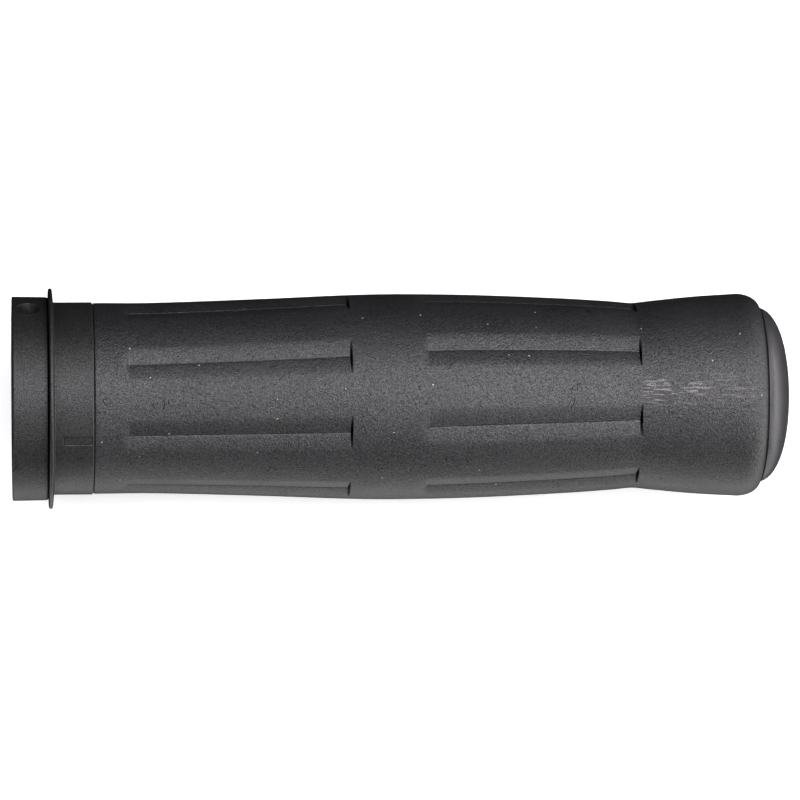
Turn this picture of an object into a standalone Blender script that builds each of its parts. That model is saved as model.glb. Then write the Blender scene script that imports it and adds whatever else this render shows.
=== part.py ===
"""Throttle grip for a 1-inch motorcycle handlebar: CAD solids of its separate pieces.

Frame: metres, the grip's axis along +X with the cable end at x = 0 and the domed end at +X, +Z up.
Angles around the axis are measured from +Z towards +Y.
"""

import math

import bmesh
import bpy
from mathutils import Matrix, Vector

MM = 0.001

# Fits
GAP = 0.3 * MM                    # moulded faces that touch on the real grip
BORE_RADIUS = 12.8 * MM           # runs on a 25.4 mm handlebar

# Throttle sleeve: spigot, thin flange, housing collar and long tube in one moulding
SPIGOT_RADIUS = 15.0 * MM
FLANGE_RADIUS = 19.5 * MM
FLANGE_ROOT_THICKNESS = 0.9 * MM
FLANGE_TIP_RADIUS = 0.35 * MM
FLANGE_RIM_CLEARANCE = 0.35 * MM  # the flange's free rim starts this far outside the drum
FLANGE_RELIEF = 0.05 * MM         # and stands this far proud of the face behind the drum
COLLAR_RADIUS = 17.0 * MM
COLLAR_END = 14.2 * MM
TUBE_RADIUS = 14.2 * MM
TUBE_END = 128.8 * MM
EDGE_ROUND = 0.3 * MM
KEY_COUNT = 2
KEY_ANGLE = math.radians(12.0)
KEY_WIDTH = 3.0 * MM
KEY_TOP = 16.2 * MM
KEY_START = 0.6 * MM
KEY_LENGTH = 5.1 * MM
MARK_ANGLE = math.radians(-26.2)
MARK_LENGTH = 4.8 * MM
MARK_WIDTH = 1.65 * MM
MARK_DEPTH = 0.15 * MM
MARK_CENTRE_X = 11.5 * MM

# Cable drum: the ring that the throttle cables wrap, keyed on the spigot
DRUM_LENGTH = 6.1 * MM
DRUM_RADIUS = 18.05 * MM
DRUM_OUTER_DRAFT = 0.1 * MM
DRUM_BORE_RADIUS = SPIGOT_RADIUS + GAP
KEYWAY_TOP = KEY_TOP + GAP
KEYWAY_WIDTH = KEY_WIDTH + 2 * GAP
SEAT_ANGLE = math.radians(62.0)
SEAT_X = 2.9 * MM
SEAT_RADIUS = 2.05 * MM
SEAT_DEPTH = 1.3 * MM
RIM_NOTCH_ANGLE = math.radians(-37.1)
RIM_NOTCH_X = -1.3 * MM
RIM_NOTCH_RADIUS = 2.5 * MM
RIM_NOTCH_DEPTH = 0.35 * MM

# Rubber grip: eight lobes in two rows between three plain bands
LOBES = 8
RUBBER_START = COLLAR_END + GAP
RUBBER_BORE_RADIUS = TUBE_RADIUS + GAP
ROW_2 = (20.0 * MM, 59.3 * MM)
ROW_1 = (72.5 * MM, 110.3 * MM)
VALLEY_DEPTH = 0.6 * MM
VALLEY_HALF_ANGLE = math.radians(11.25)
ROW_STEP_LENGTH = 0.5 * MM
SLIT_WIDTH = 0.45 * MM
SLIT_DEPTH = 0.4 * MM
SLIT_UNDERCUT = 0.5 * MM
HEAD_FULL_X = 128.0 * MM
HEAD_FULL_RADIUS = 18.0 * MM
LIP_X = 132.6 * MM
LIP_RADIUS = 15.75 * MM
MOUTH_RADIUS = 15.65 * MM
OUTLINE = (                       # axial place and radius of the lobe crests and bands
    (RUBBER_START, 16.87 * MM),
    (25.0 * MM, 16.86 * MM),
    (44.0 * MM, 17.45 * MM),
    (62.0 * MM, 18.14 * MM),
    (73.0 * MM, 18.17 * MM),
    (84.0 * MM, 17.91 * MM),
    (98.0 * MM, 17.29 * MM),
    (106.0 * MM, 16.77 * MM),
    (109.6 * MM, 16.44 * MM),
    (110.8 * MM, 16.49 * MM),
    (114.0 * MM, 16.86 * MM),
    (121.0 * MM, 17.53 * MM),
    (HEAD_FULL_X, HEAD_FULL_RADIUS),
)
VALLEY_LEAN = (                   # axial place and angle of the reference valley
    (ROW_2[0], math.radians(20.5)),
    (ROW_2[1], math.radians(24.0)),
    (ROW_1[0], math.radians(27.0)),
    (ROW_1[1], math.radians(29.0)),
)
RUBBER_SEGMENTS = 12 * LOBES
SLIT_STEP = 0.08 * MM             # axial spacing of the slit's rings where it has closed
PANEL_STATIONS = 5
BAND_STATIONS = 2
HEAD_STATIONS = 4

# End plug: domed cap with a hollow ribbed stem pressed into the sleeve
PLUG_RADIUS = MOUTH_RADIUS - GAP
PLUG_SEAT_X = TUBE_END + GAP
DOME_BASE_X = 132.4 * MM
DOME_HEIGHT = 5.3 * MM
STEM_RADIUS = 12.45 * MM
STEM_RIB_RADIUS = 12.65 * MM
STEM_BORE_RADIUS = 10.5 * MM
STEM_START = 117.0 * MM
STEM_RIB_COUNT = 3
STEM_RIB_PITCH = 3.0 * MM
STEM_RIB_WIDTH = 1.0 * MM
PLUG_HOLLOW_END = 130.6 * MM

ROUND_STEPS = 64
ARC_STEPS = 4
DOME_STEPS = 9
AXIS = Vector((1.0, 0.0, 0.0))


def clear_scene():
    """Remove every object, so the script builds from nothing."""
    for obj in list(bpy.data.objects):
        bpy.data.objects.remove(obj, do_unlink=True)


def linear_colour(hex_text):
    """Turn an sRGB hex colour into linear RGBA."""
    channels = [int(hex_text[i:i + 2], 16) / 255.0 for i in (0, 2, 4)]
    linear = [c / 12.92 if c <= 0.04045 else ((c + 0.055) / 1.055) ** 2.4 for c in channels]
    return (*linear, 1.0)


def make_material(name, hex_text, roughness):
    """A plain Principled material."""
    material = bpy.data.materials.new(name)
    material.use_nodes = True
    shader = material.node_tree.nodes["Principled BSDF"]
    shader.inputs["Base Color"].default_value = linear_colour(hex_text)
    shader.inputs["Roughness"].default_value = roughness
    shader.inputs["Metallic"].default_value = 0.0
    material.diffuse_color = linear_colour(hex_text)
    return material


def around(x, radius, angle):
    """The point at an axial place, a radius and an angle from +Z towards +Y."""
    return Vector((x, radius * math.sin(angle), radius * math.cos(angle)))


def add_object(name, mesh, material=None):
    """Link a mesh into the scene as a named object with its material."""
    obj = bpy.data.objects.new(name, mesh)
    bpy.context.scene.collection.objects.link(obj)
    if material is not None:
        mesh.materials.append(material)
    return obj


def finish_bmesh(bm, name):
    """Weld, face outwards, shade smooth and store a bmesh."""
    bmesh.ops.remove_doubles(bm, verts=bm.verts, dist=1e-7)
    bmesh.ops.recalc_face_normals(bm, faces=bm.faces)
    for face in bm.faces:
        face.smooth = True
    mesh = bpy.data.meshes.new(name)
    bm.to_mesh(mesh)
    bm.free()
    return mesh


def revolve(name, profile, material, closed):
    """Spin a profile of (x, radius) points about the grip's axis."""
    bm = bmesh.new()
    verts = [bm.verts.new((x, 0.0, radius)) for x, radius in profile]
    pairs = list(zip(verts, verts[1:]))
    if closed:
        pairs.append((verts[-1], verts[0]))
    edges = [bm.edges.new(pair) for pair in pairs]
    bmesh.ops.spin(
        bm, geom=verts + edges, cent=(0.0, 0.0, 0.0), axis=AXIS, dvec=(0.0, 0.0, 0.0),
        angle=math.tau, steps=ROUND_STEPS, use_merge=True, use_duplicate=False,
    )
    return add_object(name, finish_bmesh(bm, name), material)


def arc(centre_x, centre_radius, size, start, end):
    """Points on an arc in the profile plane, angles measured from +X towards the outside."""
    angles = [start + (end - start) * i / ARC_STEPS for i in range(ARC_STEPS + 1)]
    return [(centre_x + size * math.cos(a), centre_radius + size * math.sin(a)) for a in angles]


def hide_cutter(cutter):
    """Keep a Boolean cutter out of the finished model."""
    cutter.hide_render = True
    cutter.display_type = "WIRE"


def boolean(target, cutter, operation):
    """Cut or join with the exact solver."""
    modifier = target.modifiers.new(f"{operation.title()} {cutter.name}", "BOOLEAN")
    modifier.operation = operation
    modifier.solver = "EXACT"
    modifier.object = cutter
    hide_cutter(cutter)


def radial_box(name, x, length, width, low_radius, high_radius, angle):
    """A box standing on the axis at an angle, from one radius to another."""
    bm = bmesh.new()
    bmesh.ops.create_cube(bm, size=1.0)
    bmesh.ops.scale(bm, verts=bm.verts, vec=(length, width, high_radius - low_radius))
    centre = around(x, (low_radius + high_radius) / 2, angle)
    turn = Matrix.Rotation(-angle, 4, "X")
    bmesh.ops.transform(bm, matrix=Matrix.Translation(centre) @ turn, verts=bm.verts)
    return add_object(name, finish_bmesh(bm, name))


def radial_cylinder(name, x, radius, low_radius, high_radius, angle):
    """A cylinder pointing away from the axis at an angle."""
    bm = bmesh.new()
    bmesh.ops.create_cone(
        bm, cap_ends=True, segments=32, radius1=radius, radius2=radius,
        depth=high_radius - low_radius,
    )
    centre = around(x, (low_radius + high_radius) / 2, angle)
    turn = Matrix.Rotation(-angle, 4, "X")
    bmesh.ops.transform(bm, matrix=Matrix.Translation(centre) @ turn, verts=bm.verts)
    return add_object(name, finish_bmesh(bm, name))


def build_throttle_sleeve(material):
    """Sleeve moulding: spigot with two keys, thin flange, housing collar and long tube."""
    flange_face = DRUM_LENGTH + GAP
    flange_back = flange_face + FLANGE_ROOT_THICKNESS
    tip_x = flange_face + FLANGE_TIP_RADIUS
    rim_start = DRUM_RADIUS + FLANGE_RIM_CLEARANCE
    profile = [
        (0.0, BORE_RADIUS),
        (0.0, SPIGOT_RADIUS),
        (flange_face + FLANGE_RELIEF, SPIGOT_RADIUS),
        (flange_face + FLANGE_RELIEF, rim_start - FLANGE_RELIEF),
        (flange_face, rim_start),
    ]
    profile += arc(tip_x, FLANGE_RADIUS - FLANGE_TIP_RADIUS, FLANGE_TIP_RADIUS, math.pi, 0.0)
    profile.append((flange_back, COLLAR_RADIUS))
    profile += arc(COLLAR_END - EDGE_ROUND, COLLAR_RADIUS - EDGE_ROUND, EDGE_ROUND, math.pi / 2, 0.0)
    profile += [(COLLAR_END, TUBE_RADIUS), (TUBE_END, TUBE_RADIUS), (TUBE_END, BORE_RADIUS)]
    sleeve = revolve("throttle_sleeve", profile, material, closed=True)
    for i in range(KEY_COUNT):
        angle = KEY_ANGLE + math.tau * i / KEY_COUNT
        key = radial_box(
            f"key_{i}", KEY_START + KEY_LENGTH / 2, KEY_LENGTH, KEY_WIDTH,
            BORE_RADIUS + 2 * GAP, KEY_TOP, angle,
        )
        boolean(sleeve, key, "UNION")
    mark = radial_box(
        "mark_cutter", MARK_CENTRE_X, MARK_LENGTH, MARK_WIDTH,
        COLLAR_RADIUS - MARK_DEPTH, COLLAR_RADIUS + MARK_DEPTH, MARK_ANGLE,
    )
    boolean(sleeve, mark, "DIFFERENCE")
    return sleeve


def build_cable_drum(material):
    """Cable drum: a ring with two keyways, a round cable-end seat and a half-round rim notch."""
    profile = [(0.0, DRUM_BORE_RADIUS)]
    profile += arc(EDGE_ROUND, DRUM_RADIUS - EDGE_ROUND, EDGE_ROUND, math.pi, math.pi / 2)
    profile += [(DRUM_LENGTH, DRUM_RADIUS - DRUM_OUTER_DRAFT), (DRUM_LENGTH, DRUM_BORE_RADIUS)]
    drum = revolve("cable_drum", profile, material, closed=True)
    for i in range(KEY_COUNT):
        angle = KEY_ANGLE + math.tau * i / KEY_COUNT
        keyway = radial_box(
            f"keyway_{i}_cutter", DRUM_LENGTH / 2, DRUM_LENGTH * 2, KEYWAY_WIDTH,
            BORE_RADIUS, KEYWAY_TOP, angle,
        )
        boolean(drum, keyway, "DIFFERENCE")
    seat = radial_cylinder(
        "seat_cutter", SEAT_X, SEAT_RADIUS, DRUM_RADIUS - SEAT_DEPTH,
        DRUM_RADIUS + SEAT_DEPTH, SEAT_ANGLE,
    )
    boolean(drum, seat, "DIFFERENCE")
    notch = radial_cylinder(
        "rim_notch_cutter", RIM_NOTCH_X, RIM_NOTCH_RADIUS, DRUM_RADIUS - RIM_NOTCH_DEPTH,
        DRUM_RADIUS + RIM_NOTCH_DEPTH, RIM_NOTCH_ANGLE,
    )
    boolean(drum, notch, "DIFFERENCE")
    return drum


def smooth_between(knots, x):
    """Cubic Hermite curve through knots of (x, value), flat beyond both ends."""
    if x <= knots[0][0]:
        return knots[0][1]
    if x >= knots[-1][0]:
        return knots[-1][1]
    slopes = []
    for i in range(len(knots)):
        low = knots[max(i - 1, 0)]
        high = knots[min(i + 1, len(knots) - 1)]
        slopes.append((high[1] - low[1]) / (high[0] - low[0]))
    index = max(i for i, knot in enumerate(knots[:-1]) if knot[0] <= x)
    (x0, y0), (x1, y1) = knots[index], knots[index + 1]
    span = x1 - x0
    t = (x - x0) / span
    start = y0 * (1 + 2 * t) * (1 - t) ** 2 + slopes[index] * span * t * (1 - t) ** 2
    end = y1 * t * t * (3 - 2 * t) + slopes[index + 1] * span * t * t * (t - 1)
    return start + end


def valley_share(offset):
    """1 on a valley line, falling straight to 0 at the valley's edge."""
    pitch = math.tau / LOBES
    from_line = abs((offset + pitch / 2) % pitch - pitch / 2)
    return max(0.0, 1.0 - from_line / VALLEY_HALF_ANGLE)


def rubber_ring(bm, x, radius, depth=0.0, slit_x=0.0, slit_depth=0.0):
    """One ring of the rubber; depth, slit_x and slit_depth act only in the valleys."""
    lean = smooth_between(VALLEY_LEAN, x)
    ring = []
    for i in range(RUBBER_SEGMENTS):
        offset = math.tau * i / RUBBER_SEGMENTS
        share = valley_share(offset)
        opening = 1.0 - (1.0 - share) ** 2
        place = around(
            x + slit_x * opening, radius - depth * share - slit_depth * opening, lean + offset,
        )
        ring.append(bm.verts.new(place))
    return ring


def panel_rings(bm, start, end):
    """Rings of one row of lobes: a sloped step down, the lobes, and the undercut slit."""
    rings = [rubber_ring(bm, start, smooth_between(OUTLINE, start))]
    first = start + ROW_STEP_LENGTH
    last = end - 3 * SLIT_STEP
    for i in range(PANEL_STATIONS + 1):
        x = first + (last - first) * i / PANEL_STATIONS
        pull_back = -SLIT_WIDTH if i == PANEL_STATIONS else 0.0
        rings.append(rubber_ring(bm, x, smooth_between(OUTLINE, x), VALLEY_DEPTH, pull_back))
    x = end - 2 * SLIT_STEP
    radius = smooth_between(OUTLINE, x)
    rings.append(rubber_ring(bm, x, radius, VALLEY_DEPTH, SLIT_UNDERCUT - SLIT_WIDTH, SLIT_DEPTH))
    x = end - SLIT_STEP
    radius = smooth_between(OUTLINE, x)
    rings.append(rubber_ring(bm, x, radius, VALLEY_DEPTH, SLIT_UNDERCUT, SLIT_DEPTH))
    rings.append(rubber_ring(bm, end, smooth_between(OUTLINE, end)))
    return rings


def plain_rings(bm, start, end, count):
    """Rings of a plain band, without its first and last stations."""
    places = [start + (end - start) * i / count for i in range(1, count)]
    return [rubber_ring(bm, x, smooth_between(OUTLINE, x)) for x in places]


def head_round_rings(bm):
    """Quarter ellipse from the head's fullest place to the lip."""
    rings = []
    for i in range(1, ARC_STEPS + 1):
        turn = math.pi / 2 * i / ARC_STEPS
        x = HEAD_FULL_X + (LIP_X - HEAD_FULL_X) * math.sin(turn)
        radius = LIP_RADIUS + (HEAD_FULL_RADIUS - LIP_RADIUS) * math.cos(turn)
        rings.append(rubber_ring(bm, x, radius))
    return rings


def build_rubber_grip(material):
    """Rubber moulding: one closed wall of rings, outside from the collar to the lip and back inside."""
    bm = bmesh.new()
    start_radius = smooth_between(OUTLINE, RUBBER_START)
    rings = [
        rubber_ring(bm, RUBBER_START, start_radius - EDGE_ROUND),
        rubber_ring(bm, RUBBER_START + EDGE_ROUND, start_radius),
    ]
    rings += panel_rings(bm, *ROW_2)
    rings += plain_rings(bm, ROW_2[1], ROW_1[0], BAND_STATIONS)
    rings += panel_rings(bm, *ROW_1)
    rings += plain_rings(bm, ROW_1[1], HEAD_FULL_X, HEAD_STATIONS)
    rings.append(rubber_ring(bm, HEAD_FULL_X, HEAD_FULL_RADIUS))
    rings += head_round_rings(bm)
    rings += [
        rubber_ring(bm, LIP_X, MOUTH_RADIUS),
        rubber_ring(bm, TUBE_END, MOUTH_RADIUS),
        rubber_ring(bm, TUBE_END, RUBBER_BORE_RADIUS),
        rubber_ring(bm, RUBBER_START, RUBBER_BORE_RADIUS),
    ]
    for ring, following in zip(rings, rings[1:] + rings[:1]):
        for i in range(RUBBER_SEGMENTS):
            j = (i + 1) % RUBBER_SEGMENTS
            bm.faces.new((ring[i], ring[j], following[j], following[i]))
    return add_object("rubber_grip", finish_bmesh(bm, "rubber_grip"), material)


def build_end_plug(material):
    """Domed plug: half-ellipse dome, seat face, ribbed hollow stem open towards the handlebar."""
    profile = []
    for i in range(DOME_STEPS + 1):
        turn = math.pi / 2 * i / DOME_STEPS
        profile.append((DOME_BASE_X + DOME_HEIGHT * math.cos(turn), PLUG_RADIUS * math.sin(turn)))
    profile += [(PLUG_SEAT_X, PLUG_RADIUS), (PLUG_SEAT_X, STEM_RADIUS)]
    for i in range(STEM_RIB_COUNT):
        rib_end = PLUG_SEAT_X - STEM_RIB_PITCH * (i + 1)
        profile += [
            (rib_end + STEM_RIB_WIDTH, STEM_RADIUS),
            (rib_end + STEM_RIB_WIDTH, STEM_RIB_RADIUS),
            (rib_end, STEM_RADIUS),
        ]
    profile += [
        (STEM_START, STEM_RADIUS),
        (STEM_START, STEM_BORE_RADIUS),
        (PLUG_HOLLOW_END, STEM_BORE_RADIUS),
        (PLUG_HOLLOW_END, 0.0),
    ]
    return revolve("end_plug", profile, material, closed=False)


def main():
    """Build every piece of the grip."""
    clear_scene()
    sleeve_plastic = make_material("black_sleeve_nylon", "2e2e30", 0.55)
    drum_plastic = make_material("black_drum_nylon", "2c2c2e", 0.55)
    rubber = make_material("charcoal_grip_rubber", "3a393c", 0.6)
    plug_rubber = make_material("charcoal_plug_vinyl", "3e3c40", 0.5)
    build_throttle_sleeve(sleeve_plastic)
    build_cable_drum(drum_plastic)
    build_rubber_grip(rubber)
    build_end_plug(plug_rubber)


main()
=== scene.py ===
import math

import bmesh
import bpy
import numpy as np
from bpy.props import FloatProperty, FloatVectorProperty, PointerProperty
from mathutils import Matrix, Vector


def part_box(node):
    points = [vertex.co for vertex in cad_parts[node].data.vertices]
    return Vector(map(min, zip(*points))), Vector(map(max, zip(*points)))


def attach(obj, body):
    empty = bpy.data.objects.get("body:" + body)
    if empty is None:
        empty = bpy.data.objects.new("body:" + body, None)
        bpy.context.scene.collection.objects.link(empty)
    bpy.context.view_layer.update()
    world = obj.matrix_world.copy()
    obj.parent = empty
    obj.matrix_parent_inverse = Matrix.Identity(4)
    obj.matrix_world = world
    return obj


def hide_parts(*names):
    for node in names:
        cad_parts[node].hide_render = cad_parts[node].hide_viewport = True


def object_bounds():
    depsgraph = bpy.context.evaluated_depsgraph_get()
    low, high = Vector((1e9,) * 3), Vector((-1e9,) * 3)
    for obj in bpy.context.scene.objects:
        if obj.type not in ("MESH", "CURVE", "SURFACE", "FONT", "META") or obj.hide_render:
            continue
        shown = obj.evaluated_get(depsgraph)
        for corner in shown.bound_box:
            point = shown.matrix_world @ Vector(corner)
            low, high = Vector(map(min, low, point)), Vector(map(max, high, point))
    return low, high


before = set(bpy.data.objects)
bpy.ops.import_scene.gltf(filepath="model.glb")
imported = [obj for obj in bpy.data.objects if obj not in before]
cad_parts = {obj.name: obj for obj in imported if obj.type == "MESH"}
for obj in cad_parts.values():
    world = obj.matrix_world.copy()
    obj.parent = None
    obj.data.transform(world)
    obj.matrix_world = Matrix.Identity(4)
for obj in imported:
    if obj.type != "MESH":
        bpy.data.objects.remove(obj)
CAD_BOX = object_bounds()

bl_info = {
    "name": "Throttle Grip",
    "version": (1, 0, 0),
    "blender": (4, 5, 0),
    "location": "View3D > Sidebar > Throttle Grip",
    "description": "Builds a motorcycle throttle grip: sleeve, cable drum, lobed rubber and end plug",
    "category": "Add Mesh",
}

# The grip's axis is +X, the cable end is at x = 0, and angles run from +Z towards +Y.
MM = 0.001
SHARP_ANGLE = math.radians(32.0)

# Places read from the frame
_, DRUM_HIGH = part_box("cable_drum")
RUBBER_LOW, RUBBER_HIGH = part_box("rubber_grip")
SLEEVE_LOW, SLEEVE_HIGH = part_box("throttle_sleeve")
PLUG_LOW, PLUG_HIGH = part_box("end_plug")
DRUM_END = DRUM_HIGH.x
RUBBER_START = RUBBER_LOW.x
LIP_X = RUBBER_HIGH.x
TUBE_END = SLEEVE_HIGH.x
DOME_TIP = PLUG_HIGH.x
STEM_START = PLUG_LOW.x
DRUM_RADIUS = DRUM_HIGH.z
FLANGE_RADIUS = SLEEVE_HIGH.z
FLOOR_Z = SLEEVE_LOW.z
GAP = 0.3 * MM  # between two pieces of the frame
EDGE_ROUND = 0.3 * MM  # rounding of a moulded edge, unless its piece names another
RING_COLUMNS = 288  # straight columns round a plastic ring
WELD_DISTANCE = 1e-7
UP = Vector((0.0, 0.0, 1.0))

# Sleeve
BORE_RADIUS = 12.8 * MM
SPIGOT_RADIUS = 15.0 * MM
COLLAR_RADIUS = 17.0 * MM
TUBE_RADIUS = 14.2 * MM
FLANGE_FACE = DRUM_END + GAP
FLANGE_BACK = FLANGE_FACE + 0.9 * MM
FLANGE_TIP_ROUND = 0.35 * MM
COLLAR_END = RUBBER_START - GAP
KEY_ANGLES = (math.radians(12.0), math.radians(192.0))
KEY_SPAN = (0.6 * MM, 5.7 * MM)
KEY_WIDTH = 3.0 * MM
KEY_TOP = 16.2 * MM
MARK_ANGLE = math.radians(-26.2)
MARK_SPAN = (8.8 * MM, 13.9 * MM)
MARK_WIDTH = 1.65 * MM
MARK_DEPTH = 0.14 * MM
MARK_LINE = 0.25 * MM  # width of the painted shade line at the mark's inboard end
MARK_FADE = 0.6  # share of the mark's depth that is lost along it
FLANGE_FILLET = 0.12 * MM
STEP_BLEND = 0.1 * MM  # length over which a key or the mark starts and ends
STEP_BLEND_ANGLE = math.radians(0.5)
SPIGOT_STEP = 0.4 * MM
COLLAR_STEP = 0.25 * MM

# Cable drum
DRUM_BORE = SPIGOT_RADIUS + GAP
KEYWAY_TOP = KEY_TOP + GAP
KEYWAY_WIDTH = KEY_WIDTH + 2 * GAP
SEAT_ANGLE = math.radians(62.0)
SEAT_X = 2.9 * MM
SEAT_RADIUS = 2.05 * MM
NOTCH_ANGLE = math.radians(-37.1)
NOTCH_X = -1.95 * MM
NOTCH_RADIUS = 3.05 * MM
NOTCH_DEPTH = 0.25 * MM
CUT_WALL = 0.16 * MM  # thickness over which the wall of the seat and of the notch falls
SEAT_FINE = math.radians(7.4)  # finer columns reach this far round from the seat
NOTCH_FINE = math.radians(6.8)
SEAT_SHADE = 0.45  # how much shade is painted inside the seat
DRUM_FACE = FLANGE_FACE - 0.04 * MM
DRUM_EDGE = 0.25 * MM
DRUM_OUTER_EDGE = 0.42 * MM
DRUM_TAPER = 0.1 * MM  # the ring is this much smaller at the flange
DRUM_STEP = 0.11 * MM

# Rubber
LOBES = 8
RUBBER_BORE = TUBE_RADIUS + GAP
RUBBER_FACE = COLLAR_END + 0.05 * MM
MOUTH_RADIUS = 15.62 * MM
LIP_RADIUS = 15.72 * MM
HEAD_FULL = (128.6 * MM, 18.0 * MM)
ROW_2 = (20.0 * MM, 59.3 * MM)
ROW_1 = (72.5 * MM, 110.3 * MM)
OUTLINE = (
    (RUBBER_START, 16.87 * MM),
    (25.0 * MM, 16.86 * MM),
    (44.0 * MM, 17.45 * MM),
    (62.0 * MM, 18.14 * MM),
    (73.0 * MM, 18.17 * MM),
    (84.0 * MM, 17.91 * MM),
    (98.0 * MM, 17.29 * MM),
    (106.0 * MM, 16.77 * MM),
    (109.6 * MM, 16.44 * MM),
    (110.8 * MM, 16.49 * MM),
    (114.0 * MM, 16.86 * MM),
    (121.0 * MM, 17.53 * MM),
    HEAD_FULL,
)
VALLEY_LEAN = (
    (ROW_2[0], math.radians(20.5)),
    (ROW_2[1], math.radians(24.0)),
    (ROW_1[0], math.radians(27.0)),
    (ROW_1[1], math.radians(29.0)),
)
LIP_ROUND = 0.15 * MM
VALLEY_SOFTNESS = 0.25  # how softly a flank starts, as a share of its width
CREASE_ANGLE = math.radians(0.4)
CREASE_SHARE = 0.1  # the crease's depth as a share of the valley's
BEAD_ANGLE = math.radians(0.6)
BEAD_WIDTH = math.radians(0.3)
BEAD_SHARE = 0.6  # the flash bead's height as a share of the crease's depth
SLIT_HALF_ANGLE = math.radians(10.6)
SLIT_RIM_DROP = 0.05 * MM
FUNNEL_DEPTH = 0.28 * MM  # dip of the band in front of each valley
FUNNEL_LENGTH = 1.5 * MM
START_MARGIN = 0.35 * MM  # the first band's rings start this far along the rubber
ROW_MARGIN = 0.3 * MM  # and the other bands' rings this far past a row of slits

# Grain depths: bump heights of the moulded textures
RUBBER_FOLD_DEPTH = 0.13 * MM
RUBBER_FINE_DEPTH = 0.04 * MM
PLASTIC_GRAIN_DEPTH = 0.06 * MM

# End plug
PLUG_RADIUS = 15.5 * MM
PLUG_SEAT = TUBE_END + GAP
PLUG_COLUMNS = 256
RIM_BEAD = 0.06 * MM
RIM_DROP = 0.12 * MM  # the plug is this much smaller behind its seam
GROOVE_WIDTH = 0.16 * MM
GROOVE_DEPTH = 0.3 * MM
DOME_INSET = 1.1 * MM  # the dome's curve is centred this far inboard of its edge
DOME_FULLNESS = 2.35  # 2 is an ellipse, more is fuller
STEM_RADIUS = 12.45 * MM
RIB_RADIUS = 12.65 * MM
RIB_PITCH = 3.0 * MM
PLAIN_STEM = (1.0 * MM, 1.2 * MM)  # lengths without ribs, at the foot and under the seat
STEM_BORE = 10.5 * MM
HOLLOW_END = 130.6 * MM
HOLLOW_CHAMFER = 0.5 * MM

# Stage
CARD_DISTANCE = 0.6
FLOOR_HALF = 1.5
CARD_LIFT = 1.0 * MM  # the floor cards lie this far over the floor
SIDE_CARD_Y = -0.30
SIDE_CARD_SIZE = (0.9, 0.54)
END_CARD_REACH = 0.48  # from the grip's middle to the middle of the card past the dome
END_CARD_SIZE = (0.7, 0.6)
VIEW_X = 68.7 * MM  # the camera looks at this place on the grip
VIEW_Y = -0.6 * MM
SURROUND_GREY = (0.01, 0.01, 0.01, 1.0)
NEUTRAL = (1.0, 1.0, 1.0)
FAINT_VIOLET = (1.0, 0.96, 1.02)


def linear(hex_text):
    """sRGB hex colour as linear RGBA."""
    srgb = np.array([int(hex_text[i:i + 2], 16) for i in (0, 2, 4)]) / 255.0
    return (*np.where(srgb <= 0.04045, srgb / 12.92, ((srgb + 0.055) / 1.055) ** 2.4).tolist(), 1.0)


class GripSizes(bpy.types.PropertyGroup):
    """Sizes that shape the rubber and the small cuts of the plastic."""

    valley_depth: FloatProperty(
        name="Valley Depth", description="How far a valley line lies under the lobes",
        default=0.6 * MM, min=0.0, max=1.4 * MM, unit="LENGTH", subtype="DISTANCE",
    )
    valley_angle: FloatProperty(
        name="Valley Half Angle", description="Half the width of a valley, around the grip",
        default=math.radians(11.25), min=math.radians(4.0), max=math.radians(22.0),
        unit="ROTATION", subtype="ANGLE",
    )
    slit_depth: FloatProperty(
        name="Slit Depth", description="How far the slit goes below the valley line",
        default=0.45 * MM, min=0.0, max=0.6 * MM, unit="LENGTH", subtype="DISTANCE",
    )
    seat_depth: FloatProperty(
        name="Cable Seat Depth", description="Depth of the round cable-end seat in the drum",
        default=2.2 * MM, min=0.0, max=2.5 * MM, unit="LENGTH", subtype="DISTANCE",
    )


class GripFinish(bpy.types.PropertyGroup):
    """Colours and grain of the grip's materials."""

    rubber_colour: FloatVectorProperty(
        name="Rubber", description="Colour of the lobed rubber",
        default=linear("201f21"), size=4, min=0.0, max=1.0, subtype="COLOR",
    )
    plastic_colour: FloatVectorProperty(
        name="Sleeve Plastic", description="Colour of the sleeve and the cable drum",
        default=linear("1d1d1e"), size=4, min=0.0, max=1.0, subtype="COLOR",
    )
    plug_colour: FloatVectorProperty(
        name="Plug", description="Colour of the domed end plug",
        default=linear("302e31"), size=4, min=0.0, max=1.0, subtype="COLOR",
    )
    rubber_grain: FloatProperty(
        name="Rubber Grain", description="Width of one fold of the rubber's leathery grain",
        default=0.42 * MM, min=0.1 * MM, max=2.0 * MM, unit="LENGTH", subtype="DISTANCE",
    )
    plastic_grain: FloatProperty(
        name="Plastic Grain", description="Width of one grain of the spark-eroded plastic",
        default=0.22 * MM, min=0.05 * MM, max=1.0 * MM, unit="LENGTH", subtype="DISTANCE",
    )


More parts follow.
